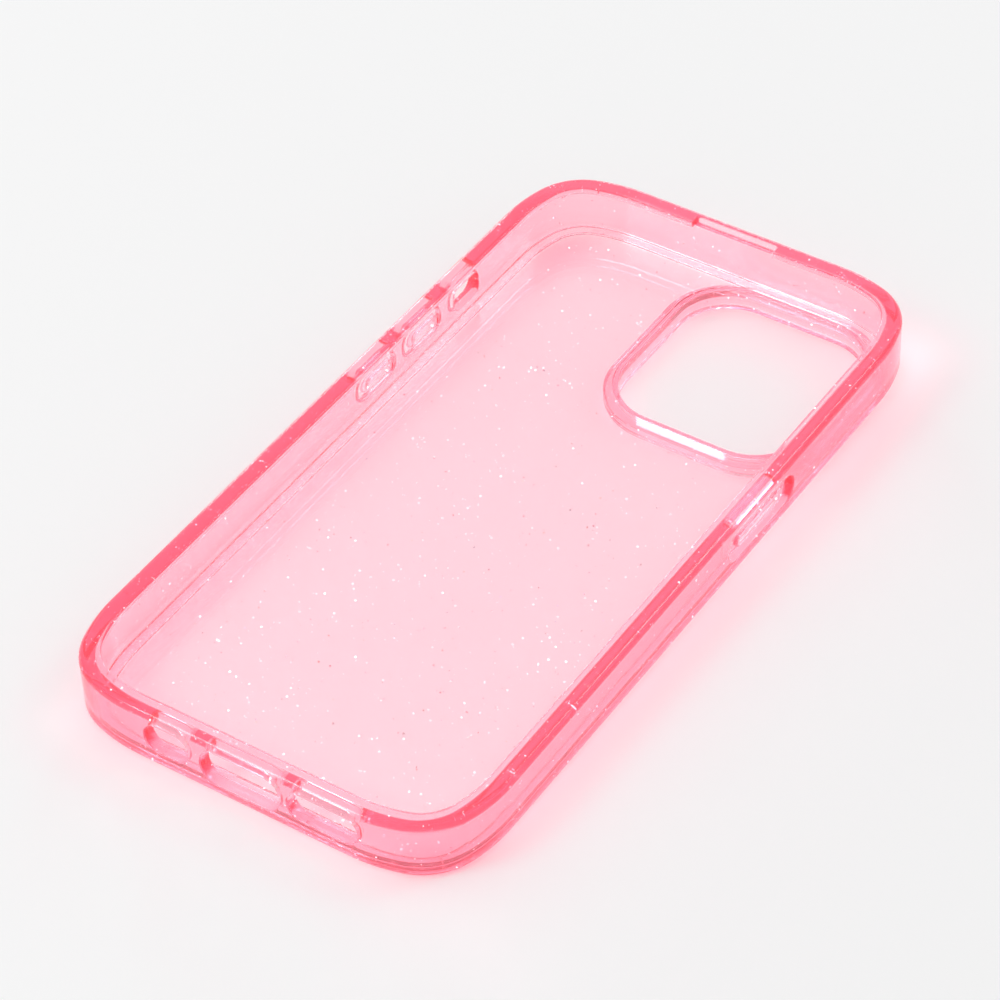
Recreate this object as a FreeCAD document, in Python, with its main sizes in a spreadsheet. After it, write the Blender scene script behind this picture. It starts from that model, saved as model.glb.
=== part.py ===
"""Phone case: a soft bumper frame, a hard back plate, a camera guard and three sprung button covers.

Frame: +X to the side-button edge, +Y to the top of the phone, +Z out of the screen, origin on the
lowest plane (the camera guard's rim) below the middle of the outline. Millimetres.
"""
import FreeCAD, Part
import math
import os
import Sketcher

SIZES = {
    # outline and walls
    "case_width": 77.4,
    "case_length": 152.7,
    "corner_gentle": 30.0,
    "corner_tight": 11.8,
    "corner_reach": 18.3,
    "wall_side": 2.8,
    "wall_end": 2.5,
    "wall_mean": 2.65,
    # heights, counted from the guard's rim
    "guard_drop": 2.5,
    "plate_thick": 1.9,
    "phone_depth": 7.95,
    "lip_rise": 1.2,
    # lip round the screen
    "lip_side": 0.85,
    "lip_end": 1.25,
    "lip_mean": 1.05,
    "lip_round": 0.4,
    "top_round": 1.3,
    "bottom_round": 1.2,
    # ledge that carries the back plate
    "ledge_thick": 0.8,
    "ledge_width": 1.6,
    "plate_play": 0.05,
    # camera window and its guard
    "window_x": 14.6,
    "window_y": 51.6,
    "window_width": 36.0,
    "window_length": 38.0,
    "window_radius": 10.0,
    "collar_wall": 1.0,
    "guard_width": 41.4,
    "guard_length": 43.4,
    "guard_radius": 12.7,
    "guard_round": 0.9,
    # slots in the bottom edge
    "slot_height": 5.5,
    "slot_level": 8.7,
    "slot_radius": 2.4,
    "mic_x": -14.2,
    "mic_width": 8.4,
    "speaker_x": 15.7,
    "speaker_width": 13.1,
    "port_x": 0.0,
    "port_width": 15.0,
    "port_height": 6.9,
    "port_level": 8.3,
    "port_radius": 3.0,
    # relief in the lip over the earpiece
    "relief_width": 16.6,
    "relief_reach": 0.9,
    "relief_depth": 1.5,
    "relief_radius": 0.7,
    # button recesses, windows and covers
    "recess_depth": 1.6,
    "recess_height": 5.4,
    "recess_level": 8.0,
    "recess_radius": 2.4,
    "button_level": 8.2,
    "stem_height": 2.0,
    "stem_radius": 0.9,
    "stem_play": 0.1,
    "flange_height": 3.0,
    "flange_thick": 0.3,
    "flange_pocket": 0.45,
    "flange_radius": 1.2,
    "flange_play": 0.05,
    "bar_height": 3.2,
    "bar_thick": 0.8,
    "bar_radius": 1.5,
    "bar_round": 0.35,
    "press_gap": 0.45,
    "side_y": 17.4,
    "side_recess": 20.8,
    "side_bar": 15.0,
    "volume_up_y": 27.75,
    "volume_down_y": 13.7,
    "volume_recess": 11.6,
    "volume_bar": 8.6,
    "stem_inset": 1.2,
    "flange_inset": 0.5,
    "switch_y": 40.9,
    "switch_recess": 9.2,
    "switch_width": 7.4,
    "switch_height": 4.4,
    "switch_radius": 1.2,
}

QUARTER = math.pi / 2
LEAST_CUT = 0.01  # cubic millimetres: a pocket that takes less has missed the body
SAME_LEVEL = 1e-4

doc = FreeCAD.newDocument("phone_case")
sheet = doc.addObject("Spreadsheet::Sheet", "sizes")
for row, (alias, value) in enumerate(SIZES.items(), start=1):
    sheet.set(f"A{row}", str(value))
    sheet.setAlias(f"A{row}", alias)
doc.recompute()


def cell(expression):
    """An expression over sheet aliases as FreeCAD writes it: 'wall_side + 1' gives 'sizes.wall_side + 1'."""
    words = expression.replace("(", " ( ").replace(")", " ) ").split()
    return " ".join(f"sizes.{word}" if word in SIZES else word for word in words)


def value(expression):
    """The number that such an expression has now, for a sketch's starting shape."""
    return float(sheet.evalExpression(cell(expression)))


def origin_plane(body, role):
    return next(item for item in body.Origin.OriginFeatures if item.Role == role)


def rounded_rectangle(body, name, plane, level, width, height, radius, middle=("0", "0")):
    """A sketch of a rectangle with round corners, level above the plane, its sizes bound to the sheet."""
    sketch = body.newObject("Sketcher::SketchObject", name)
    sketch.AttachmentSupport = [(origin_plane(body, plane), "")]
    sketch.MapMode = "FlatFace"
    sketch.setExpression("AttachmentOffset.Base.z", cell(level))
    half_w, half_h, round_r = value(width) / 2, value(height) / 2, value(radius)
    mid_x, mid_y = value(middle[0]), value(middle[1])

    def spot(x, y):
        return FreeCAD.Vector(mid_x + x, mid_y + y, 0)

    in_w, in_h = half_w - round_r, half_h - round_r
    sides = [
        (spot(-in_w, -half_h), spot(in_w, -half_h)),
        (spot(half_w, -in_h), spot(half_w, in_h)),
        (spot(in_w, half_h), spot(-in_w, half_h)),
        (spot(-half_w, in_h), spot(-half_w, -in_h)),
    ]
    centres = [spot(in_w, -in_h), spot(in_w, in_h), spot(-in_w, in_h), spot(-in_w, -in_h)]
    for start, end in sides:
        sketch.addGeometry(Part.LineSegment(start, end), False)
    for turn, centre in enumerate(centres, start=-1):
        circle = Part.Circle(centre, FreeCAD.Vector(0, 0, 1), round_r)
        sketch.addGeometry(Part.ArcOfCircle(circle, turn * QUARTER, (turn + 1) * QUARTER), False)
    for side in range(4):
        corner = 4 + side
        sketch.addConstraint(Sketcher.Constraint("Tangent", side, 2, corner, 1))
        sketch.addConstraint(Sketcher.Constraint("Tangent", corner, 2, (side + 1) % 4, 1))
    for corner in (5, 6, 7):
        sketch.addConstraint(Sketcher.Constraint("Equal", 4, corner))
    for side, word in enumerate(("Horizontal", "Vertical")):
        sketch.addConstraint(Sketcher.Constraint(word, side))
    sketch.addGeometry(Part.Point(spot(0, 0)), True)
    sketch.addConstraint(Sketcher.Constraint("Symmetric", 4, 3, 6, 3, 8, 1))
    bound = [
        ("DistanceX", (3, 1, 1, 1), 2 * half_w, width),
        ("DistanceY", (0, 1, 2, 2), 2 * half_h, height),
        ("Radius", (4,), round_r, radius),
        ("DistanceX", (-1, 1, 8, 1), mid_x, middle[0]),
        ("DistanceY", (-1, 1, 8, 1), mid_y, middle[1]),
    ]
    for kind, places, start, expression in bound:
        index = sketch.addConstraint(Sketcher.Constraint(kind, *places, start))
        if expression != "0":
            sketch.setExpression(f"Constraints[{index}]", cell(expression))
    sketch.Visibility = False
    return sketch


def smooth_rectangle(body, name, level, width, height, inset):
    """A sketch of a rectangle whose corners turn as a phone's do: a gentle arc, a tight one and a gentle one.

    inset is how far the outline lies inside the case's own; all three radii shrink by it, so walls stay even.
    """
    sketch = body.newObject("Sketcher::SketchObject", name)
    sketch.AttachmentSupport = [(origin_plane(body, "XY_Plane"), "")]
    sketch.MapMode = "FlatFace"
    sketch.setExpression("AttachmentOffset.Base.z", cell(level))
    gentle_size, tight_size, reach_size = (
        f"corner_{word} - ( {inset} )" for word in ("gentle", "tight", "reach"))
    half_w, half_h = value(width) / 2, value(height) / 2
    gentle, tight, reach = value(gentle_size), value(tight_size), value(reach_size)
    turn = math.acos((gentle - reach) / (gentle - tight) / math.sqrt(2)) - math.pi / 4
    in_w, in_h = half_w - reach, half_h - reach
    sides = [
        ((-in_w, -half_h), (in_w, -half_h)),
        ((half_w, -in_h), (half_w, in_h)),
        ((in_w, half_h), (-in_w, half_h)),
        ((-half_w, in_h), (-half_w, -in_h)),
    ]
    for start, end in sides:
        sketch.addGeometry(Part.LineSegment(FreeCAD.Vector(*start, 0), FreeCAD.Vector(*end, 0)), False)

    def ray(angle, length):
        return FreeCAD.Vector(length * math.cos(angle), length * math.sin(angle), 0)

    def arc(centre, radius, start, end):
        circle = Part.Circle(centre, FreeCAD.Vector(0, 0, 1), radius)
        return sketch.addGeometry(Part.ArcOfCircle(circle, start, end), False)

    first_arc = {}
    for side, (_, end) in enumerate(sides):
        heading = side * QUARTER
        centre = FreeCAD.Vector(*end, 0) + ray(heading + QUARTER, gentle)
        first_arc[side] = arc(centre, gentle, heading - QUARTER, heading - QUARTER + turn)
        centre += ray(heading - QUARTER + turn, gentle - tight)
        arc(centre, tight, heading - QUARTER + turn, heading - turn)
        centre -= ray(heading - turn, gentle - tight)
        arc(centre, gentle, heading - turn, heading)
    for side, first in first_arc.items():
        chain = [side, first, first + 1, first + 2, (side + 1) % 4]
        for one, other in zip(chain, chain[1:]):
            sketch.addConstraint(Sketcher.Constraint("Tangent", one, 2, other, 1))
        if side > 0:
            sketch.addConstraint(Sketcher.Constraint("Equal", first_arc[0], first))
            sketch.addConstraint(Sketcher.Constraint("Equal", first_arc[0] + 1, first + 1))
        sketch.addConstraint(Sketcher.Constraint("Equal", first_arc[0], first + 2))
        sketch.addConstraint(Sketcher.Constraint("Horizontal" if side % 2 == 0 else "Vertical", side))
    sizes = [
        ("DistanceX", (3, 1, 1, 1), 2 * half_w, width),
        ("DistanceY", (0, 1, 2, 2), 2 * half_h, height),
        ("DistanceX", (-1, 1, 1, 1), half_w, f"( {width} ) / 2"),
        ("DistanceY", (-1, 1, 2, 1), half_h, f"( {height} ) / 2"),
        ("Radius", (first_arc[0],), gentle, gentle_size),
        ("Radius", (first_arc[0] + 1,), tight, tight_size),
    ]
    for side in range(4):
        corner = (side, 2, (side + 1) % 4, 1)
        back = (corner[2], corner[3], corner[0], corner[1])
        across = corner if side in (0, 3) else back
        upward = corner if side in (0, 1) else back
        sizes.append(("DistanceX", across, reach, reach_size))
        sizes.append(("DistanceY", upward, reach, reach_size))
    for kind, places, start, expression in sizes:
        index = sketch.addConstraint(Sketcher.Constraint(kind, *places, start))
        sketch.setExpression(f"Constraints[{index}]", cell(expression))
    sketch.Visibility = False
    return sketch


def pad(body, name, sketch, length, down=False):
    feature = body.newObject("PartDesign::Pad", name)
    feature.Profile = sketch
    feature.Reversed = down
    feature.setExpression("Length", cell(length))
    doc.recompute()
    return feature


def pocket(body, name, sketch, length, along_normal=False):
    """Cuts the sketch's outline out of the body, and stops if nothing was cut."""
    before = body.Shape.Volume
    feature = body.newObject("PartDesign::Pocket", name)
    feature.Profile = sketch
    feature.Reversed = along_normal
    feature.setExpression("Length", cell(length))
    doc.recompute()
    if before - body.Shape.Volume < LEAST_CUT:
        raise RuntimeError(f"{name} cut nothing")
    return feature


def fillet(body, name, base, chosen, radius):
    """Rounds the edges of base that chosen picks."""
    names = [f"Edge{n}" for n, edge in enumerate(base.Shape.Edges, start=1) if chosen(edge)]
    if not names:
        raise RuntimeError(f"{name} found no edge")
    feature = body.newObject("PartDesign::Fillet", name)
    feature.Base = (base, names)
    feature.setExpression("Radius", cell(radius))
    doc.recompute()
    return feature


def at_height(level, reach=None, axis="z"):
    """Picks the edges that lie wholly at one coordinate, and inside reach of the Z axis if that is given."""
    def chosen(edge):
        spots = [vertex.Point for vertex in edge.Vertexes]
        flat = all(abs(getattr(spot, axis) - level) < SAME_LEVEL for spot in spots)
        return flat and (reach is None or all(reach(spot) for spot in spots))
    return chosen


def new_body(name):
    body = doc.addObject("PartDesign::Body", name)
    body.Label = name
    return body


CAVITY_W = "case_width - 2 * wall_side"
CAVITY_L = "case_length - 2 * wall_end"
BODY_DEPTH = "plate_thick + phone_depth + lip_rise"
LIP_TOP = "guard_drop + plate_thick + phone_depth + lip_rise"
GLASS = "guard_drop + plate_thick + phone_depth"
LEDGE_TOP = "guard_drop + ledge_thick"
OUTSIDE = 1.0  # how far a cut starts clear of the wall
BUTTONS = {
    "side_button_cover": (1, "side_y", "side_recess", "side_bar"),
    "volume_up_cover": (-1, "volume_up_y", "volume_recess", "volume_bar"),
    "volume_down_cover": (-1, "volume_down_y", "volume_recess", "volume_bar"),
}


def side_sketch(body, name, side, from_middle, centre_y, width, level, height, radius):
    """A rounded rectangle seen along X, from_middle away from the YZ plane on the +X or -X side."""
    offset = from_middle if side > 0 else f"0 - ( {from_middle} )"
    return rounded_rectangle(body, name, "YZ_Plane", offset, width, height, radius, (centre_y, level))


def make_frame():
    body = new_body("bumper_frame")
    outline = smooth_rectangle(body, "frame_outline", "guard_drop", "case_width", "case_length", "0")
    block = pad(body, "frame_block", outline, BODY_DEPTH)
    top = fillet(body, "frame_top_round", block, at_height(value(LIP_TOP)), "top_round")
    fillet(body, "frame_bottom_round", top, at_height(value("guard_drop")), "bottom_round")
    screen = smooth_rectangle(
        body, "screen_outline", LIP_TOP, f"{CAVITY_W} - 2 * lip_side", f"{CAVITY_L} - 2 * lip_end",
        "wall_mean + lip_mean")
    opening = pocket(body, "screen_opening", screen, "lip_rise")

    def inside(spot):
        return abs(spot.x) < value(CAVITY_W) / 2 and abs(spot.y) < value(CAVITY_L) / 2

    fillet(body, "lip_round_edge", opening, at_height(value(LIP_TOP), inside), "lip_round")
    cavity = smooth_rectangle(body, "cavity_outline", LEDGE_TOP, CAVITY_W, CAVITY_L, "wall_mean")
    pocket(body, "phone_cavity", cavity, "plate_thick + phone_depth - ledge_thick", along_normal=True)
    return body


def open_floor(body):
    """Opens the floor inside a narrow ledge that carries the back plate."""
    hole = smooth_rectangle(
        body, "ledge_hole", LEDGE_TOP, f"{CAVITY_W} - 2 * ledge_width", f"{CAVITY_L} - 2 * ledge_width",
        "wall_mean + ledge_width")
    pocket(body, "ledge_opening", hole, "ledge_thick")


def cut_slots(body):
    """Three round-ended slots through the bottom edge: microphone, charging port and speaker."""
    slots = {
        "mic": ("mic_x", "mic_width", "slot_level", "slot_height", "slot_radius"),
        "port": ("port_x", "port_width", "port_level", "port_height", "port_radius"),
        "speaker": ("speaker_x", "speaker_width", "slot_level", "slot_height", "slot_radius"),
    }
    for name, (centre_x, width, level, height, radius) in slots.items():
        sketch = rounded_rectangle(
            body, f"{name}_outline", "XZ_Plane", f"case_length / 2 + {OUTSIDE}", width, height, radius,
            (centre_x, level))
        pocket(body, f"{name}_slot", sketch, f"wall_end + 2 * {OUTSIDE}")


def cut_relief(body):
    """The earpiece relief takes the lip away over the middle of the top edge."""
    depth = "lip_end + relief_reach"
    sketch = rounded_rectangle(
        body, "relief_outline", "XY_Plane", f"{LIP_TOP} + {OUTSIDE}", "relief_width",
        f"2 * ( {depth} )", "relief_radius", ("0", f"( {CAVITY_L} ) / 2 - lip_end"))
    pocket(body, "earpiece_relief", sketch, f"relief_depth + {OUTSIDE}")


def cut_buttons(body):
    """Each cover sits in a recess of the outer wall, over a window with a shallow pocket behind it."""
    outside = f"case_width / 2 + {OUTSIDE}"
    inside = f"case_width / 2 - wall_side - {OUTSIDE}"
    for name, (side, centre_y, recess, bar) in BUTTONS.items():
        inward = side < 0
        shape = side_sketch(body, f"{name}_recess_outline", side, outside, centre_y, recess,
                            "recess_level", "recess_height", "recess_radius")
        pocket(body, f"{name}_recess", shape, f"recess_depth + {OUTSIDE}", inward)
        shape = side_sketch(body, f"{name}_window_outline", side, outside, centre_y,
                            f"{bar} - 2 * stem_inset + 2 * stem_play", "button_level",
                            "stem_height + 2 * stem_play", "stem_radius + stem_play")
        pocket(body, f"{name}_window", shape, f"wall_side + 2 * {OUTSIDE}", inward)
        shape = side_sketch(body, f"{name}_flange_outline", side, inside, centre_y,
                            f"{bar} - 2 * flange_inset + 4 * stem_play", "button_level",
                            "flange_height + 4 * stem_play", "flange_radius + 2 * stem_play")
        pocket(body, f"{name}_flange_pocket", shape, f"flange_pocket + {OUTSIDE}", not inward)
    shape = side_sketch(body, "switch_recess_outline", -1, outside, "switch_y", "switch_recess",
                        "recess_level", "recess_height", "recess_radius")
    pocket(body, "switch_recess_cut", shape, f"recess_depth + {OUTSIDE}", True)
    shape = side_sketch(body, "switch_window_outline", -1, outside, "switch_y", "switch_width",
                        "button_level", "switch_height", "switch_radius")
    pocket(body, "switch_window", shape, f"wall_side + 2 * {OUTSIDE}", True)


def make_plate():
    """The back plate rests on the frame's ledge: a flange above it and a field that fills its opening."""
    body = new_body("back_plate")
    field = smooth_rectangle(
        body, "field_outline", "guard_drop", f"{CAVITY_W} - 2 * ledge_width - 2 * plate_play",
        f"{CAVITY_L} - 2 * ledge_width - 2 * plate_play", "wall_mean + ledge_width + plate_play")
    pad(body, "plate_field", field, "plate_thick")
    flange = smooth_rectangle(
        body, "flange_outline", LEDGE_TOP, f"{CAVITY_W} - 2 * plate_play",
        f"{CAVITY_L} - 2 * plate_play", "wall_mean + plate_play")
    pad(body, "plate_flange", flange, "plate_thick - ledge_thick")
    window = rounded_rectangle(
        body, "plate_window_outline", "XY_Plane", f"guard_drop + plate_thick + {OUTSIDE}",
        "window_width + 2 * collar_wall + 2 * plate_play", "window_length + 2 * collar_wall + 2 * plate_play",
        "window_radius + collar_wall + plate_play", ("window_x", "window_y"))
    pocket(body, "plate_window", window, f"plate_thick + 2 * {OUTSIDE}")
    return body


def make_guard():
    """The camera guard: a raised rim under the plate, with a collar through the plate's window."""
    body = new_body("camera_guard")
    middle = ("window_x", "window_y")
    rim = rounded_rectangle(
        body, "rim_outline", "XY_Plane", "0", "guard_width", "guard_length", "guard_radius", middle)
    ring = pad(body, "guard_rim", rim, "guard_drop")
    fillet(body, "rim_round", ring, at_height(0.0), "guard_round")
    collar = rounded_rectangle(
        body, "collar_outline", "XY_Plane", "guard_drop", "window_width + 2 * collar_wall",
        "window_length + 2 * collar_wall", "window_radius + collar_wall", middle)
    pad(body, "guard_collar", collar, "plate_thick")
    hole = rounded_rectangle(
        body, "camera_outline", "XY_Plane", f"guard_drop + plate_thick + {OUTSIDE}", "window_width",
        "window_length", "window_radius", middle)
    pocket(body, "camera_window", hole, f"guard_drop + plate_thick + 2 * {OUTSIDE}")
    return body


def make_cover(name):
    """A button cover: a bar outside, a stem through the frame's window and a flange behind the wall."""
    side, centre_y, _, bar = BUTTONS[name]
    body = new_body(name)
    wall_face = "case_width / 2 - recess_depth"
    web_back = "case_width / 2 - wall_side + flange_pocket"
    flange_face = f"{web_back} - flange_thick - flange_play"
    outline = side_sketch(body, f"{name}_bar_outline", side, f"{wall_face} + press_gap", centre_y,
                          bar, "button_level", "bar_height", "bar_radius")
    block = pad(body, f"{name}_bar", outline, "bar_thick", side < 0)
    face = side * value(f"{wall_face} + press_gap + bar_thick")
    fillet(body, f"{name}_bar_round", block, at_height(face, axis="x"), "bar_round")
    outline = side_sketch(body, f"{name}_stem_outline", side, flange_face, centre_y,
                          f"{bar} - 2 * stem_inset", "button_level", "stem_height", "stem_radius")
    pad(body, f"{name}_stem", outline, f"{wall_face} + press_gap - ( {flange_face} )", side < 0)
    outline = side_sketch(body, f"{name}_flange_outline", side, flange_face, centre_y,
                          f"{bar} - 2 * flange_inset", "button_level", "flange_height", "flange_radius")
    pad(body, f"{name}_flange", outline, "flange_thick", side < 0)
    return body


frame = make_frame()
open_floor(frame)
cut_slots(frame)
cut_relief(frame)
cut_buttons(frame)
plate = make_plate()
guard = make_guard()
covers = [make_cover(name) for name in BUTTONS]
doc.recompute()

for item in doc.Objects:
    if "Invalid" in item.State or "Error" in item.State:
        raise RuntimeError(f"{item.Name} failed: {item.State}")
os.makedirs("parts", exist_ok=True)
for body in [frame, plate, guard] + covers:
    shape = body.Shape
    if shape.isNull() or not shape.isValid() or len(shape.Solids) != 1:
        raise RuntimeError(f"{body.Label} isn't one valid solid")
    shape.exportStep(f"parts/{body.Label}.step")
    box = shape.optimalBoundingBox()
    print(f"{body.Label}: {shape.Volume:.1f} mm3, {box.XLength:.2f} x {box.YLength:.2f} x {box.ZLength:.2f}")
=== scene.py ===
"""A soft clear-pink phone case with glitter in the plastic: the looks, built round the CAD frame.

Lengths are in metres, in the frame's own axes: +X to the side-button edge, +Y to the top of the
phone, +Z out of the screen. The case lies on its back, on the camera guard and its bottom edge.
"""
import math

import bmesh
import bpy
from mathutils import Matrix, Vector


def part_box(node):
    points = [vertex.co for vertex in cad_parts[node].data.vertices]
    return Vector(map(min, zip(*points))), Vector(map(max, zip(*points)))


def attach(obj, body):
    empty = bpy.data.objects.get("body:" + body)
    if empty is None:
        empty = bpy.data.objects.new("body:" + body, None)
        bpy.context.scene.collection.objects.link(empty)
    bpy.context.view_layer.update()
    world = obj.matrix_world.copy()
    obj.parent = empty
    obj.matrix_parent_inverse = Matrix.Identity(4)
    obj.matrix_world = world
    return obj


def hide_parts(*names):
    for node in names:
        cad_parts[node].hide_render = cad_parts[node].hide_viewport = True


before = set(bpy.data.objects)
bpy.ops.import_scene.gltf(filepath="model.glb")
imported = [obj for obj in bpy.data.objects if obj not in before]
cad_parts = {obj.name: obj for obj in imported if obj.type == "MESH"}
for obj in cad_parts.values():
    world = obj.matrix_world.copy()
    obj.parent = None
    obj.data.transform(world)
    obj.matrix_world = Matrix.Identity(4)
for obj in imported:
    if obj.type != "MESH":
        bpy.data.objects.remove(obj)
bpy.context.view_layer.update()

MM = 0.001
QUARTER = math.pi / 2

# ---------------------------------------------------------------- sizes of the case

CASE_LOW, CASE_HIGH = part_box("bumper_frame")
INNER_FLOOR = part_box("back_plate")[1].z
GUARD_LOW, GUARD_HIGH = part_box("camera_guard")
HALF_W, HALF_L = CASE_HIGH.x, CASE_HIGH.y
BACK, LIP_TOP = CASE_LOW.z, CASE_HIGH.z

CORNER_GENTLE = 30.0 * MM
CORNER_TIGHT = 11.8 * MM
CORNER_REACH = 18.3 * MM
WALL_SIDE, WALL_END = 2.8 * MM, 2.5 * MM
LIP_SIDE, LIP_END = 0.85 * MM, 1.25 * MM
LIP_RISE = 1.2 * MM
GLASS = LIP_TOP - LIP_RISE
LEDGE_THICK, LEDGE_WIDE = 0.8 * MM, 1.6 * MM
LEDGE_TOP = BACK + LEDGE_THICK
PLATE_PLAY, PLATE_LIFT = 0.05 * MM, 0.04 * MM
TOP_ROUND, BOTTOM_ROUND = 1.3 * MM, 1.2 * MM
LIP_ROUND, LIP_UNDER_ROUND = 0.4 * MM, 0.25 * MM
SMALL_ROUND = 0.18 * MM

# How far inside the case's outline a ring lies: at the sides, at the ends, and for the corners' arcs.
OUTER = (0.0, 0.0, 0.0)
CAVITY = (WALL_SIDE, WALL_END, (WALL_SIDE + WALL_END) / 2)
LIP = tuple(wall + lip for wall, lip in zip(CAVITY, (LIP_SIDE, LIP_END, (LIP_SIDE + LIP_END) / 2)))
LEDGE = tuple(wall + LEDGE_WIDE for wall in CAVITY)

# slots in the bottom edge: middle x, width, height, middle z, corner radius
SLOTS = {
    "microphone": (-14.2 * MM, 8.4 * MM, 5.5 * MM, 8.7 * MM, 2.4 * MM),
    "port": (0.0, 15.0 * MM, 6.9 * MM, 8.3 * MM, 3.0 * MM),
    "speaker": (15.7 * MM, 13.1 * MM, 5.5 * MM, 8.7 * MM, 2.4 * MM),
}
SLOT_ROUND = 0.35 * MM
RELIEF_WIDTH, RELIEF_REACH, RELIEF_DEPTH, RELIEF_RADIUS = 16.6 * MM, 0.9 * MM, 1.5 * MM, 0.7 * MM

RECESS_DEPTH, RECESS_HEIGHT, RECESS_LEVEL, RECESS_RADIUS = 1.6 * MM, 5.4 * MM, 8.0 * MM, 2.4 * MM
RECESS_ROUND, RECESS_FLOOR_ROUND = 0.35 * MM, 0.45 * MM
# buttons: side of the case (+1 is +X), body, recess length beyond the bar's own
BUTTONS = {
    "side_button_cover": (1, "side_button", 5.8 * MM),
    "volume_up_cover": (-1, "volume_up", 3.0 * MM),
    "volume_down_cover": (-1, "volume_down", 3.0 * MM),
}
BAR_THICK, BAR_RADIUS, BAR_ROUND, PRESS_GAP = 0.8 * MM, 1.5 * MM, 0.38 * MM, 0.45 * MM
STEM_HEIGHT, STEM_RADIUS, STEM_INSET, STEM_PLAY = 2.0 * MM, 0.9 * MM, 1.2 * MM, 0.1 * MM
FLANGE_HEIGHT, FLANGE_RADIUS, FLANGE_INSET = 3.0 * MM, 1.2 * MM, 0.5 * MM
FLANGE_THICK, FLANGE_POCKET, FLANGE_PLAY = 0.3 * MM, 0.45 * MM, 0.05 * MM
SWITCH_Y, SWITCH_RECESS, SWITCH_WIDTH, SWITCH_HEIGHT = 40.9 * MM, 9.2 * MM, 7.4 * MM, 4.4 * MM
SWITCH_LEVEL, SWITCH_RADIUS = 8.2 * MM, 1.2 * MM

WINDOW_WALL, GUARD_FLANGE = 1.0 * MM, 2.7 * MM
WINDOW_RADIUS, GUARD_ROUND = 10.0 * MM, 0.9 * MM
PLATE_EDGE, GUARD_EDGE = 0.15 * MM, 0.3 * MM
# Cutters start this far outside, and their rounds this far off the surface, so that no faces coincide.
OUTSIDE = 1.0 * MM
CUT_SKEW = 0.004 * MM
MERGE = 0.001 * MM

# ---------------------------------------------------------------- mesh helpers


def arc_steps(count, start, end):
    """count + 1 values, evenly spaced from start to end."""
    return [start + (end - start) * step / count for step in range(count + 1)]


def smooth_outline(half_w, half_l, inset):
    """The case's outline as points: each corner is a gentle arc, a tight one and a gentle one."""
    gentle, tight, reach = CORNER_GENTLE - inset, CORNER_TIGHT - inset, CORNER_REACH - inset
    turn = math.acos((gentle - reach) / (gentle - tight) / math.sqrt(2)) - QUARTER / 2
    ends = [
        Vector((half_w - reach, -half_l)),
        Vector((half_w, half_l - reach)),
        Vector((reach - half_w, half_l)),
        Vector((-half_w, reach - half_l)),
    ]

    def ray(angle, length):
        return Vector((length * math.cos(angle), length * math.sin(angle)))

    points = []
    for side, end in enumerate(ends):
        heading = side * QUARTER
        first = end + ray(heading + QUARTER, gentle)
        middle = first + ray(heading - QUARTER + turn, gentle - tight)
        last = middle - ray(heading - turn, gentle - tight)
        arcs = [
            (first, gentle, 10, heading - QUARTER, heading - QUARTER + turn),
            (middle, tight, 22, heading - QUARTER + turn, heading - turn),
            (last, gentle, 10, heading - turn, heading),
        ]
        for number, (centre, radius, count, start, stop) in enumerate(arcs):
            steps = arc_steps(count, start, stop)
            points += [centre + ray(angle, radius) for angle in steps[min(number, 1):]]
    return points


def round_outline(half_w, half_h, radius, middle=(0.0, 0.0), count=12):
    """A rectangle with round corners as points, counterclockwise."""
    points = []
    for side in range(4):
        right, up = (1, 1, -1, -1)[side], (-1, 1, 1, -1)[side]
        centre = Vector(middle) + Vector((right * (half_w - radius), up * (half_h - radius)))
        for angle in arc_steps(count, (side - 1) * QUARTER, side * QUARTER):
            points.append(centre + Vector((radius * math.cos(angle), radius * math.sin(angle))))
    return points


def shell(name, rings, closed=False):
    """A closed mesh through rings of equally many points: a loop of rings, or a stack with flat ends."""
    mesh_builder = bmesh.new()
    loops = [[mesh_builder.verts.new(point) for point in ring] for ring in rings]
    pairs = list(zip(loops, loops[1:]))
    if closed:
        pairs.append((loops[-1], loops[0]))
    else:
        mesh_builder.faces.new(loops[0])
        mesh_builder.faces.new(loops[-1])
    for lower, upper in pairs:
        for spot in range(len(lower)):
            after = (spot + 1) % len(lower)
            mesh_builder.faces.new((lower[spot], lower[after], upper[after], upper[spot]))
    bmesh.ops.recalc_face_normals(mesh_builder, faces=mesh_builder.faces)
    mesh = bpy.data.meshes.new(name)
    mesh_builder.to_mesh(mesh)
    mesh_builder.free()
    piece = bpy.data.objects.new(name, mesh)
    bpy.context.scene.collection.objects.link(piece)
    return piece


def bake(piece):
    """Turns a piece with its modifiers into a plain mesh."""
    bpy.context.view_layer.update()
    evaluated = piece.evaluated_get(bpy.context.evaluated_depsgraph_get())
    mesh = bpy.data.meshes.new_from_object(evaluated)
    mesh.name = piece.name
    piece.modifiers.clear()
    piece.data = mesh
    return piece


def cut(piece, cutters):
    """Takes cutters, which must not touch each other, out of the piece."""
    merged = bmesh.new()
    for cutter in cutters:
        merged.from_mesh(cutter.data)
    together = bpy.data.meshes.new("cutters")
    merged.to_mesh(together)
    merged.free()
    tool = bpy.data.objects.new("cutters", together)
    bpy.context.scene.collection.objects.link(tool)
    boolean = piece.modifiers.new("cut", "BOOLEAN")
    boolean.operation = "DIFFERENCE"
    boolean.solver = "EXACT"
    boolean.object = tool
    bake(piece)
    for used in cutters + [tool]:
        bpy.data.objects.remove(used)


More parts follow.
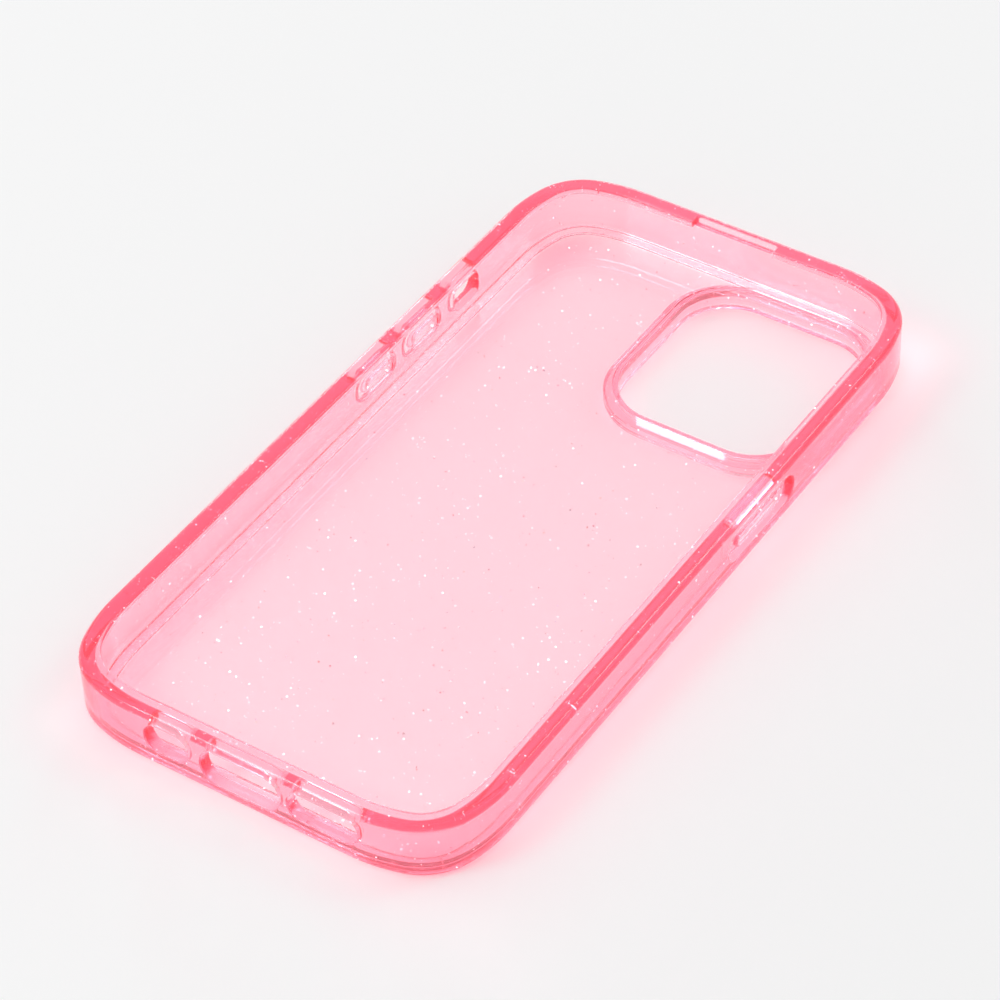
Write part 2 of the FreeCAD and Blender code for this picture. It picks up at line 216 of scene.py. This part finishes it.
def finish_surface(piece, sharp_degrees=32):
    """Smooth shading that keeps flat faces flat and real edges sharp."""
    tidy = bmesh.new()
    tidy.from_mesh(piece.data)
    bmesh.ops.remove_doubles(tidy, verts=tidy.verts, dist=MERGE)
    bmesh.ops.dissolve_degenerate(tidy, edges=tidy.edges, dist=MERGE)
    bmesh.ops.triangulate(tidy, faces=[face for face in tidy.faces if len(face.verts) > 4])
    tidy.to_mesh(piece.data)
    tidy.free()
    piece.data.shade_smooth()
    piece.data.set_sharp_from_angle(angle=math.radians(sharp_degrees))
    weighted = piece.modifiers.new("even normals", "WEIGHTED_NORMAL")
    weighted.keep_sharp = True
    weighted.weight = 60
    bake(piece)


def wall_point(wall, along, level, depth):
    """A point depth inside one of the case's flat walls, along it, at a height."""
    if wall == "bottom":
        return Vector((along, -HALF_L + depth, level))
    side = 1 if wall == "right" else -1
    return Vector((side * (HALF_W - depth), along, level))


def wall_cutter(wall, middle, width, height, radius, sections):
    """A cutter into a wall: a rounded rectangle whose size grows or shrinks with depth."""
    rings = []
    for depth, growth in sections:
        outline = round_outline(width / 2 + growth, height / 2 + growth, radius + growth, middle, 10)
        rings.append([wall_point(wall, along, level, depth) for along, level in outline])
    return shell("cutter", rings)


def mouth(surface, radius, inward=True, count=6):
    """Sections that round the edge of a hole where it meets a surface at that depth."""
    sections = []
    for angle in arc_steps(count, 0.0, QUARTER):
        depth = radius * (1 - math.cos(angle)) - CUT_SKEW
        growth = radius * (1 - math.sin(angle))
        sections.append((surface + depth if inward else surface - depth, growth))
    return sections if inward else sections[::-1]


def blind_end(depth, radius, count=5):
    """Sections that round the corner between a recess's wall and its floor."""
    return [(depth - radius * (1 - math.sin(angle)), -radius * (1 - math.cos(angle)))
            for angle in arc_steps(count, 0.0, QUARTER)]


# ---------------------------------------------------------------- the bumper frame


def frame_ring(base, inward, level):
    """A ring of the frame at a height, inward from one of the base rings named above."""
    side, end, mean = (distance + inward for distance in base)
    return [point.to_3d() + Vector((0, 0, level))
            for point in smooth_outline(HALF_W - side, HALF_L - end, mean)]


def round_edge(base, inward, level, radius, start, end, count):
    """Rings round an edge: angle 0 points away from the middle of the case, and 90 degrees up."""
    rings = []
    for angle in arc_steps(count, math.radians(start), math.radians(end)):
        rings.append(frame_ring(base, inward - radius * math.cos(angle), level + radius * math.sin(angle)))
    return rings


def slot_cutters():
    """The slots of the bottom edge, round at both mouths."""
    cutters = []
    for middle, width, height, level, radius in SLOTS.values():
        sections = [(-OUTSIDE, SLOT_ROUND)] + mouth(0.0, SLOT_ROUND)
        sections += mouth(WALL_END, SLOT_ROUND, inward=False) + [(WALL_END + OUTSIDE, SLOT_ROUND)]
        cutters.append(wall_cutter("bottom", (middle, level), width, height, radius, sections))
    return cutters


def recess_cutter(wall, middle, length):
    """A recess of a side wall, round at its mouth and at its floor."""
    sections = [(-OUTSIDE, RECESS_ROUND)] + mouth(0.0, RECESS_ROUND)
    sections += blind_end(RECESS_DEPTH, RECESS_FLOOR_ROUND)
    return wall_cutter(wall, (middle, RECESS_LEVEL), length, RECESS_HEIGHT, RECESS_RADIUS, sections)


def button_cutters(name, side, longer):
    """A button's recess, the window for its stem and the pocket for the flange behind the wall."""
    wall = "right" if side > 0 else "left"
    low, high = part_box(name)
    middle, bar, level = (low.y + high.y) / 2, high.y - low.y, (low.z + high.z) / 2
    recess = recess_cutter(wall, middle, bar + longer)
    window = wall_cutter(
        wall, (middle, level), bar - 2 * STEM_INSET + 2 * STEM_PLAY, STEM_HEIGHT + 2 * STEM_PLAY,
        STEM_RADIUS + STEM_PLAY, [(RECESS_DEPTH - OUTSIDE, 0.0), (WALL_SIDE + OUTSIDE, 0.0)])
    pocket = wall_cutter(
        wall, (middle, level), bar - 2 * FLANGE_INSET + 4 * STEM_PLAY, FLANGE_HEIGHT + 4 * STEM_PLAY,
        FLANGE_RADIUS + 2 * STEM_PLAY, [(WALL_SIDE - FLANGE_POCKET, 0.0), (WALL_SIDE + OUTSIDE, 0.0)])
    return recess, window, pocket


def switch_recess():
    """The recess over the mute switch."""
    return recess_cutter("left", SWITCH_Y, SWITCH_RECESS)


def switch_window():
    """The window through the floor of the switch's recess."""
    edge = SLOT_ROUND / 2
    sections = [(RECESS_DEPTH - OUTSIDE, edge)] + mouth(RECESS_DEPTH, edge)
    sections += mouth(WALL_SIDE, edge, inward=False) + [(WALL_SIDE + OUTSIDE, edge)]
    return wall_cutter(
        "left", (SWITCH_Y, SWITCH_LEVEL), SWITCH_WIDTH, SWITCH_HEIGHT, SWITCH_RADIUS, sections)


def relief_cutter():
    """The relief that takes the lip away over the earpiece."""
    lip_y = HALF_L - WALL_END - LIP_END
    reach = LIP_END + RELIEF_REACH
    sections = [(-OUTSIDE, SLOT_ROUND)] + mouth(0.0, SLOT_ROUND) + blind_end(RELIEF_DEPTH, SLOT_ROUND)
    rings = []
    for depth, growth in sections:
        outline = round_outline(
            RELIEF_WIDTH / 2 + growth, reach + growth, RELIEF_RADIUS + growth, (0.0, lip_y), 8)
        rings.append([point.to_3d() + Vector((0, 0, LIP_TOP - depth)) for point in outline])
    return shell("cutter", rings)


def make_frame():
    """The soft frame: one profile carried round the outline, then opened where the phone needs it."""
    rings = round_edge(OUTER, BOTTOM_ROUND, BACK + BOTTOM_ROUND, BOTTOM_ROUND, -90, 0, 9)
    rings += round_edge(OUTER, TOP_ROUND, LIP_TOP - TOP_ROUND, TOP_ROUND, 0, 90, 10)
    rings += round_edge(LIP, -LIP_ROUND, LIP_TOP - LIP_ROUND, LIP_ROUND, 90, 180, 7)
    rings += round_edge(LIP, -LIP_UNDER_ROUND, GLASS + LIP_UNDER_ROUND, LIP_UNDER_ROUND, 180, 270, 4)
    rings += round_edge(CAVITY, LIP_UNDER_ROUND, GLASS - LIP_UNDER_ROUND, LIP_UNDER_ROUND, 90, 0, 4)
    rings += round_edge(CAVITY, SMALL_ROUND, LEDGE_TOP + SMALL_ROUND, SMALL_ROUND, 0, -90, 3)
    rings += round_edge(LEDGE, -SMALL_ROUND, LEDGE_TOP - SMALL_ROUND, SMALL_ROUND, 90, 180, 3)
    rings += round_edge(LEDGE, -SMALL_ROUND, BACK + SMALL_ROUND, SMALL_ROUND, 180, 270, 3)
    piece = shell("soft_frame", rings, closed=True)

    first = slot_cutters()
    through, behind = [], []
    for name, (side, _, longer) in BUTTONS.items():
        recess, window, pocket = button_cutters(name, side, longer)
        first.append(recess)
        through.append(window)
        behind.append(pocket)
    first += [switch_recess(), relief_cutter()]
    through.append(switch_window())
    cut(piece, first)
    cut(piece, through)
    cut(piece, behind)
    finish_surface(piece)
    return piece


# ---------------------------------------------------------------- back plate, camera guard and covers

GUARD_MIDDLE = ((GUARD_LOW + GUARD_HIGH) / 2).xy
GUARD_HALF = ((GUARD_HIGH - GUARD_LOW) / 2).xy
CAMERA_HALF = GUARD_HALF - Vector((GUARD_FLANGE, GUARD_FLANGE))


def guard_ring(growth, level, count=14):
    """A ring that stands growth outside the camera window's own outline."""
    outline = round_outline(
        CAMERA_HALF.x + growth, CAMERA_HALF.y + growth, WINDOW_RADIUS + growth, GUARD_MIDDLE, count)
    return [point.to_3d() + Vector((0, 0, level)) for point in outline]


def guard_edge(growth, level, radius, start, end, count):
    """Rings round an edge of the window: angle 0 points away from it, and 90 degrees up."""
    return [guard_ring(growth + radius * math.cos(angle), level + radius * math.sin(angle))
            for angle in arc_steps(count, math.radians(start), math.radians(end))]


def make_plate():
    """The hard back: a raised field that fills the frame's ledge, with a flange over it."""
    rings = round_edge(LEDGE, PLATE_EDGE + PLATE_PLAY, BACK + PLATE_EDGE, PLATE_EDGE, -90, 0, 4)
    under = LEDGE_TOP + PLATE_LIFT
    rings += [frame_ring(LEDGE, PLATE_PLAY, under)]
    rings += round_edge(CAVITY, SMALL_ROUND + PLATE_PLAY, under + SMALL_ROUND, SMALL_ROUND, -90, 0, 3)
    rings += round_edge(CAVITY, SMALL_ROUND + PLATE_PLAY, INNER_FLOOR - SMALL_ROUND, SMALL_ROUND, 0, 90, 3)
    piece = shell("clear_back", rings)
    hole = WINDOW_WALL + PLATE_PLAY
    cut(piece, [shell("cutter", [guard_ring(hole, BACK - OUTSIDE), guard_ring(hole, INNER_FLOOR + OUTSIDE)])])
    finish_surface(piece)
    return piece


def make_guard():
    """The camera guard: a round-edged rim below the back, and a collar up through the plate."""
    edge = GUARD_EDGE
    rings = guard_edge(GUARD_FLANGE - GUARD_ROUND, GUARD_ROUND, GUARD_ROUND, -90, 0, 8)
    rings += guard_edge(GUARD_FLANGE - edge / 2, BACK - edge / 2 - PLATE_PLAY / 2, edge / 2, 0, 90, 3)
    rings += [guard_ring(WINDOW_WALL, BACK - PLATE_PLAY / 2)]
    rings += guard_edge(WINDOW_WALL - edge, INNER_FLOOR - edge, edge, 0, 90, 4)
    rings += guard_edge(edge, INNER_FLOOR - edge, edge, 90, 180, 4)
    rings += guard_edge(edge, edge, edge, 180, 270, 4)
    piece = shell("camera_rim", rings, closed=True)
    finish_surface(piece)
    return piece


def make_cover(node):
    """A button: a pillowed bar in its recess, a stem through the wall and a flange behind it."""
    side, _, _ = BUTTONS[node]
    wall = "right" if side > 0 else "left"
    low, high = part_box(node)
    middle, level, bar = (low.y + high.y) / 2, (low.z + high.z) / 2, high.y - low.y
    height = high.z - low.z
    front = RECESS_DEPTH - PRESS_GAP - BAR_THICK
    flange_front = WALL_SIDE - FLANGE_POCKET + FLANGE_PLAY

    def ring(depth, less_long, less_high, radius):
        outline = round_outline(bar / 2 - less_long, height / 2 - less_high, radius, (middle, level), 10)
        return [wall_point(wall, along, z, depth) for along, z in outline]

    rings = []
    for angle in arc_steps(8, 0.0, QUARTER):
        shrink = BAR_ROUND * (1 - math.sin(angle))
        rings.append(ring(front + BAR_ROUND * (1 - math.cos(angle)), shrink, shrink, BAR_RADIUS - shrink))
    for angle in arc_steps(4, 0.0, QUARTER):
        shrink = SMALL_ROUND * (1 - math.cos(angle))
        depth = front + BAR_THICK - SMALL_ROUND * (1 - math.sin(angle))
        rings.append(ring(depth, shrink, shrink, BAR_RADIUS - shrink))
    stem = (STEM_INSET, (height - STEM_HEIGHT) / 2, STEM_RADIUS)
    flange = (FLANGE_INSET, (height - FLANGE_HEIGHT) / 2, FLANGE_RADIUS)
    rings += [ring(front + BAR_THICK, *stem), ring(flange_front, *stem)]
    rings += [ring(flange_front, *flange), ring(flange_front + FLANGE_THICK, *flange)]
    piece = shell(node.replace("_cover", "_key"), rings)
    finish_surface(piece)
    return piece


# ---------------------------------------------------------------- glitter

FLAKE_WIDTH, FLAKE_THICK = 0.26 * MM, 0.02 * MM
FLAKE_LEAN = math.radians(45)
FLAKES_PER_SQUARE_METRE = 110000.0
CASE_SEED, KEY_SEED = 7, 20


def flake_mesh():
    """One flake: a thin six-sided disc."""
    rings = []
    for level in (-FLAKE_THICK / 2, FLAKE_THICK / 2):
        rings.append([Vector((math.cos(k * math.tau / 6), math.sin(k * math.tau / 6), 0)) * FLAKE_WIDTH / 2
                      + Vector((0, 0, level)) for k in range(6)])
    return shell("flake", rings)


def glitter_tree(flake, material):
    """Flakes strewn just under a piece's surface, turned at random, with a tint of their own each."""
    tree = bpy.data.node_groups.new("strewn glitter", "GeometryNodeTree")
    sockets = tree.interface
    sockets.new_socket("Geometry", in_out="INPUT", socket_type="NodeSocketGeometry")
    inputs = {
        "Flakes per square metre": ("NodeSocketFloat", FLAKES_PER_SQUARE_METRE),
        "Least depth": ("NodeSocketFloat", 0.14 * MM),
        "Greatest depth": ("NodeSocketFloat", 0.36 * MM),
        "Seed": ("NodeSocketInt", CASE_SEED),
    }
    for label, (kind, default) in inputs.items():
        sockets.new_socket(label, in_out="INPUT", socket_type=kind).default_value = default
    sockets.new_socket("Geometry", in_out="OUTPUT", socket_type="NodeSocketGeometry")
    nodes, links = tree.nodes, tree.links
    given = nodes.new("NodeGroupInput")
    result = nodes.new("NodeGroupOutput")

    def random(kind, low, high, offset):
        node = nodes.new("FunctionNodeRandomValue")
        node.data_type = kind
        if kind == "FLOAT_VECTOR":
            node.inputs[0].default_value, node.inputs[1].default_value = low, high
        else:
            node.inputs[2].default_value, node.inputs[3].default_value = low, high
        seed = nodes.new("ShaderNodeMath")
        seed.inputs[1].default_value = offset
        links.new(given.outputs["Seed"], seed.inputs[0])
        links.new(seed.outputs[0], node.inputs["Seed"])
        return node

    strew = nodes.new("GeometryNodeDistributePointsOnFaces")
    links.new(given.outputs["Geometry"], strew.inputs["Mesh"])
    links.new(given.outputs["Flakes per square metre"], strew.inputs["Density"])
    links.new(given.outputs["Seed"], strew.inputs["Seed"])

    depth = random("FLOAT", 0.0, 1.0, 1)
    depth_range = nodes.new("ShaderNodeMapRange")
    links.new(depth.outputs[1], depth_range.inputs["Value"])
    links.new(given.outputs["Least depth"], depth_range.inputs["To Min"])
    links.new(given.outputs["Greatest depth"], depth_range.inputs["To Max"])
    below = nodes.new("ShaderNodeVectorMath")
    below.operation = "SCALE"
    links.new(strew.outputs["Normal"], below.inputs[0])
    minus = nodes.new("ShaderNodeMath")
    minus.operation = "MULTIPLY"
    minus.inputs[1].default_value = -1.0
    links.new(depth_range.outputs["Result"], minus.inputs[0])
    links.new(minus.outputs[0], below.inputs["Scale"])
    sink = nodes.new("GeometryNodeSetPosition")
    links.new(strew.outputs["Points"], sink.inputs["Geometry"])
    links.new(below.outputs[0], sink.inputs["Offset"])

    lean = random("FLOAT_VECTOR", (-FLAKE_LEAN, -FLAKE_LEAN, 0.0), (FLAKE_LEAN, FLAKE_LEAN, math.tau), 2)
    turn = nodes.new("FunctionNodeRotateRotation")
    turn.rotation_space = "LOCAL"
    links.new(strew.outputs["Rotation"], turn.inputs["Rotation"])
    links.new(lean.outputs[0], turn.inputs["Rotate By"])
    chance = random("FLOAT", 0.0, 1.0, 3)
    rare = nodes.new("ShaderNodeMath")
    rare.operation = "POWER"
    rare.inputs[1].default_value = 3.0
    links.new(chance.outputs[1], rare.inputs[0])
    size = nodes.new("ShaderNodeMath")
    size.operation = "MULTIPLY_ADD"
    size.inputs[1].default_value, size.inputs[2].default_value = 1.2, 0.5
    links.new(rare.outputs[0], size.inputs[0])
    shape = nodes.new("GeometryNodeObjectInfo")
    shape.inputs["Object"].default_value = flake
    place = nodes.new("GeometryNodeInstanceOnPoints")
    links.new(sink.outputs["Geometry"], place.inputs["Points"])
    links.new(shape.outputs["Geometry"], place.inputs["Instance"])
    links.new(turn.outputs[0], place.inputs["Rotation"])
    links.new(size.outputs[0], place.inputs["Scale"])
    # One random number per flake picks its tint and whether it carries a painted glint in the foil.
    tint = random("FLOAT", 0.0, 1.0, 4)
    store = nodes.new("GeometryNodeStoreNamedAttribute")
    store.domain = "INSTANCE"
    store.inputs["Name"].default_value = "flake_tint_and_glint"
    links.new(place.outputs["Instances"], store.inputs["Geometry"])
    links.new(tint.outputs[1], store.inputs["Value"])
    real = nodes.new("GeometryNodeRealizeInstances")
    links.new(store.outputs["Geometry"], real.inputs["Geometry"])
    finish = nodes.new("GeometryNodeSetMaterial")
    finish.inputs["Material"].default_value = material
    links.new(real.outputs["Geometry"], finish.inputs["Geometry"])
    links.new(finish.outputs["Geometry"], result.inputs["Geometry"])
    return tree


def strew_glitter(tree, name, pieces, seed):
    """One mesh of flakes inside the given pieces, which all ride on one body."""
    merged = bmesh.new()
    for piece in pieces:
        merged.from_mesh(piece.data)
    mesh = bpy.data.meshes.new(name)
    merged.to_mesh(mesh)
    merged.free()
    glitter = bpy.data.objects.new(name, mesh)
    bpy.context.scene.collection.objects.link(glitter)
    modifier = glitter.modifiers.new("strew", "NODES")
    modifier.node_group = tree
    wanted = {"Flakes per square metre": FLAKES_PER_SQUARE_METRE, "Seed": seed}
    for item in tree.interface.items_tree:
        if item.name in wanted and item.in_out == "INPUT":
            modifier[item.identifier] = wanted[item.name]
    return bake(glitter)


# ---------------------------------------------------------------- materials

PINK, PALE_PINK = (0.995, 0.02, 0.29), (0.995, 0.05, 0.30)
# MILK is the plastic's milky base colour; the other is the colour of its painted glow, an emission.
MILK, PAINTED_GLOW_PINK = (1.0, 0.95, 0.965), (1.0, 0.28, 0.36)
GLINTLESS_SHARE = 0.55  # of the flakes; the others carry a painted glint, a bright emission
NOISE_LOW, NOISE_HIGH = 0.3, 0.7  # where most of a noise's values lie


def new_material(name):
    """An empty node material, with its nodes and links."""
    material = bpy.data.materials.new(name)
    material.use_nodes = True
    material.node_tree.nodes.clear()
    return material, material.node_tree.nodes, material.node_tree.links


def noise(nodes, links, scale, detail=2.0):
    """A noise on Object coordinates, scale in cycles per metre."""
    place = nodes.new("ShaderNodeTexCoord")
    texture = nodes.new("ShaderNodeTexNoise")
    texture.inputs["Scale"].default_value = scale
    texture.inputs["Detail"].default_value = detail
    links.new(place.outputs["Object"], texture.inputs["Vector"])
    return texture


def spread(nodes, links, source, low, high):
    """A noise's values, carried to the range low to high."""
    node = nodes.new("ShaderNodeMapRange")
    node.inputs["From Min"].default_value = NOISE_LOW
    node.inputs["From Max"].default_value = NOISE_HIGH
    node.inputs["To Min"].default_value = low
    node.inputs["To Max"].default_value = high
    links.new(source, node.inputs["Value"])
    return node.outputs["Result"]


def clear_plastic(name, tint, density, index, roughness, ripple, clarity, glow):
    """Neon plastic: tinted through its thickness, faintly milky, with a painted pink glow of its own, rippled
    and hazier in patches.
    """
    material, nodes, links = new_material(name)
    output = nodes.new("ShaderNodeOutputMaterial")
    plastic = nodes.new("ShaderNodeBsdfPrincipled")
    plastic.inputs["Base Color"].default_value = (*MILK, 1.0)
    plastic.inputs["Transmission Weight"].default_value = clarity
    # Painted glow: a faint pink emission that stands in for the plastic's fluorescence and lightens it.
    plastic.inputs["Emission Color"].default_value = (*PAINTED_GLOW_PINK, 1.0)
    plastic.inputs["Emission Strength"].default_value = glow
    plastic.inputs["IOR"].default_value = index
    haze = noise(nodes, links, 240.0, 3.0)
    links.new(spread(nodes, links, haze.outputs["Fac"], *roughness), plastic.inputs["Roughness"])
    swell = noise(nodes, links, 130.0, 1.0)
    grain = noise(nodes, links, 2600.0, 2.0)
    both = nodes.new("ShaderNodeMath")
    both.operation = "MULTIPLY_ADD"
    both.inputs[1].default_value = 0.06
    links.new(grain.outputs["Fac"], both.inputs[0])
    links.new(swell.outputs["Fac"], both.inputs[2])
    bump = nodes.new("ShaderNodeBump")
    bump.inputs["Strength"].default_value = 1.0
    bump.inputs["Distance"].default_value = ripple
    links.new(both.outputs[0], bump.inputs["Height"])
    links.new(bump.outputs["Normal"], plastic.inputs["Normal"])
    passing = nodes.new("ShaderNodeBsdfTransparent")
    passing.inputs["Color"].default_value = (1.0, 0.985, 0.985, 1.0)
    rays = nodes.new("ShaderNodeLightPath")
    mix = nodes.new("ShaderNodeMixShader")
    links.new(rays.outputs["Is Shadow Ray"], mix.inputs["Fac"])
    links.new(plastic.outputs["BSDF"], mix.inputs[1])
    links.new(passing.outputs["BSDF"], mix.inputs[2])
    links.new(mix.outputs["Shader"], output.inputs["Surface"])
    inside = nodes.new("ShaderNodeVolumeAbsorption")
    inside.inputs["Color"].default_value = (*tint, 1.0)
    inside.inputs["Density"].default_value = density
    links.new(inside.outputs["Volume"], output.inputs["Volume"])
    return material


def glitter_foil():
    """Bright foil: mostly silver, some flakes pale pink or pale gold, each a little scuffed; flakes past a
    share give off a painted glint, a bright emission.
    """
    material, nodes, links = new_material("glitter foil")
    output = nodes.new("ShaderNodeOutputMaterial")
    foil = nodes.new("ShaderNodeBsdfPrincipled")
    foil.inputs["Metallic"].default_value = 1.0
    tint = nodes.new("ShaderNodeAttribute")
    tint.attribute_name = "flake_tint_and_glint"
    ramp = nodes.new("ShaderNodeValToRGB")
    ramp.color_ramp.interpolation = "CONSTANT"
    shades = [(0.0, (0.98, 0.97, 0.98)), (0.18, (1.0, 0.80, 0.86)), (0.36, (1.0, 0.93, 0.84)),
              (0.48, (0.86, 0.90, 1.0)), (GLINTLESS_SHARE, (1.0, 0.98, 0.98))]
    for number, (place, shade) in enumerate(shades):
        stop = ramp.color_ramp.elements[0] if number == 0 else ramp.color_ramp.elements.new(place)
        stop.position = place
        stop.color = (*shade, 1.0)
    links.new(tint.outputs["Fac"], ramp.inputs["Fac"])
    links.new(ramp.outputs["Color"], foil.inputs["Base Color"])
    # Painted glint: flakes past the glintless share give off a bright white emission that stands in for
    # glints of light; the rest give off a faint dark one.
    painted_glint = nodes.new("ShaderNodeValToRGB")
    painted_glint.color_ramp.interpolation = "CONSTANT"
    painted_glint.color_ramp.elements[0].color = (0.06, 0.05, 0.055, 1.0)
    painted_glint.color_ramp.elements[1].position = GLINTLESS_SHARE
    painted_glint.color_ramp.elements[1].color = (1.0, 0.95, 0.97, 1.0)
    links.new(tint.outputs["Fac"], painted_glint.inputs["Fac"])
    links.new(painted_glint.outputs["Color"], foil.inputs["Emission Color"])
    foil.inputs["Emission Strength"].default_value = 1.3
    scuff = noise(nodes, links, 9000.0)
    links.new(spread(nodes, links, scuff.outputs["Fac"], 0.18, 0.42), foil.inputs["Roughness"])
    links.new(foil.outputs["BSDF"], output.inputs["Surface"])
    return material


def table_top():
    """Matt white paint, very faintly clouded."""
    material, nodes, links = new_material("white table")
    output = nodes.new("ShaderNodeOutputMaterial")
    paint = nodes.new("ShaderNodeBsdfPrincipled")
    paint.inputs["Roughness"].default_value = 0.75
    cloud = noise(nodes, links, 3.0, 1.0)
    ramp = nodes.new("ShaderNodeValToRGB")
    ramp.color_ramp.elements[0].color = (0.955, 0.957, 0.960, 1.0)
    ramp.color_ramp.elements[1].color = (0.968, 0.969, 0.970, 1.0)
    links.new(cloud.outputs["Fac"], ramp.inputs["Fac"])
    links.new(ramp.outputs["Color"], paint.inputs["Base Color"])
    links.new(paint.outputs["BSDF"], output.inputs["Surface"])
    return material


# ---------------------------------------------------------------- the case, put together

soft_pink = clear_plastic(
    "soft pink plastic", PINK, density=145.0, index=1.47, roughness=(0.04, 0.14), ripple=0.020 * MM,
    clarity=0.97, glow=0.07)
button_pink = clear_plastic(
    "button pink plastic", PINK, density=145.0, index=1.47, roughness=(0.05, 0.14), ripple=0.012 * MM,
    clarity=0.97, glow=0.07)
hard_clear = clear_plastic(
    "hard pale pink plastic", PALE_PINK, density=55.0, index=1.55, roughness=(0.01, 0.05),
    ripple=0.008 * MM, clarity=0.99, glow=0.02)
guard_pink = clear_plastic(
    "guard pink plastic", PINK, density=120.0, index=1.5, roughness=(0.03, 0.09), ripple=0.012 * MM,
    clarity=0.97, glow=0.06)
foil = glitter_foil()

soft_frame = make_frame()
clear_back = make_plate()
camera_rim = make_guard()
keys = {node: make_cover(node) for node in BUTTONS}

pieces = [
    (soft_frame, "bumper_frame", "case", "soft_bumper", soft_pink),
    (clear_back, "back_plate", "case", "hard_back", hard_clear),
    (camera_rim, "camera_guard", "case", "guard_plastic", guard_pink),
]
pieces += [(key, node, BUTTONS[node][1], "button_plastic", button_pink) for node, key in keys.items()]
for piece, node, body, slot, material in pieces:
    piece.data.materials.clear()
    piece.data.materials.append(material)

flake = flake_mesh()
tree = glitter_tree(flake, foil)
case_glitter = strew_glitter(tree, "case_glitter", [soft_frame, clear_back, camera_rim], CASE_SEED)
pieces.append((case_glitter, None, "case", "soft_bumper", None))
for number, (node, key) in enumerate(keys.items()):
    name = key.name.replace("_key", "_glitter")
    key_glitter = strew_glitter(tree, name, [key], KEY_SEED + number)
    pieces.append((key_glitter, None, BUTTONS[node][1], "button_plastic", None))
bpy.data.objects.remove(flake)

for piece, node, body, slot, material in pieces:
    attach(piece, body)
    if node:
        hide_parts(node)

# ---------------------------------------------------------------- table, lights and camera

REST_FRONT = Vector((0.0, -75.15 * MM, BACK))
REST_GUARD_Y = 30.8 * MM
TABLE_TILT = math.atan2(BACK - GUARD_LOW.z, REST_GUARD_Y - REST_FRONT.y)
TABLE_HALF = 2.0
TABLE_GAP = 0.02 * MM


def lay_table():
    """The table touches the case at its bottom edge and under the camera guard."""
    corners = [(-TABLE_HALF, -TABLE_HALF), (TABLE_HALF, -TABLE_HALF), (TABLE_HALF, TABLE_HALF),
               (-TABLE_HALF, TABLE_HALF)]
    tilt = Matrix.Rotation(-TABLE_TILT, 3, "X")
    mesh = bpy.data.meshes.new("table")
    spots = [REST_FRONT + tilt @ Vector((x, y, -TABLE_GAP)) for x, y in corners]
    mesh.from_pydata(spots, [], [(0, 1, 2, 3)])
    mesh.materials.append(table_top())
    table = bpy.data.objects.new("table", mesh)
    bpy.context.scene.collection.objects.link(table)


def soft_box(name, turn, rise, distance, width, height, watts):
    """A rectangular soft light: turn is counted from +X towards +Y, rise from the table."""
    lamp = bpy.data.lights.new(name, "AREA")
    lamp.shape = "RECTANGLE"
    lamp.size, lamp.size_y, lamp.energy = width, height, watts
    turn, rise = math.radians(turn), math.radians(rise)
    away = Vector((math.cos(rise) * math.cos(turn), math.cos(rise) * math.sin(turn), math.sin(rise)))
    lamp_object = bpy.data.objects.new(name, lamp)
    bpy.context.scene.collection.objects.link(lamp_object)
    facing = away.to_track_quat("Z", "Y").to_matrix().to_4x4()
    lamp_object.matrix_world = Matrix.Translation(away * distance) @ facing


def set_camera():
    """The camera looks down at the case from its lower right, rolled a little clockwise."""
    aim = Vector((1.77, -5.27, 12.35)) * MM
    turn, rise, roll, distance = math.radians(125.042), math.radians(42.9), math.radians(2.45), 0.6092
    forward = Vector((math.cos(rise) * math.cos(turn), math.cos(rise) * math.sin(turn), -math.sin(rise)))
    camera = bpy.data.cameras.new("camera")
    camera.lens, camera.sensor_width = 132.5, 36.0
    camera.clip_start, camera.clip_end = 0.01, 20.0
    holder = bpy.data.objects.new("camera", camera)
    bpy.context.scene.collection.objects.link(holder)
    level = forward.to_track_quat("-Z", "Y").to_matrix().to_4x4()
    place = Matrix.Translation(aim - forward * distance)
    holder.matrix_world = place @ level @ Matrix.Rotation(-roll, 4, "Z")
    bpy.context.scene.camera = holder


lay_table()
soft_box("front soft box", 234, 45, 1.0, 0.28, 0.28, 2.2)
soft_box("right soft box", 55, 42, 1.0, 0.24, 0.24, 1.1)
soft_box("left soft box", 143, 10, 1.0, 0.20, 0.12, 0.9)
soft_box("far soft box", 112, 15, 1.0, 0.24, 0.12, 0.6)
set_camera()

scene = bpy.context.scene
scene.view_settings.view_transform = "Standard"
scene.cycles.max_bounces = 20
scene.cycles.transmission_bounces = 20
scene.cycles.transparent_max_bounces = 24
scene.cycles.glossy_bounces = 20
world = bpy.data.worlds.new("room")
world.use_nodes = True
world.node_tree.nodes["Background"].inputs["Color"].default_value = (1.0, 1.0, 1.0, 1.0)
world.node_tree.nodes["Background"].inputs["Strength"].default_value = 0.68
scene.world = world
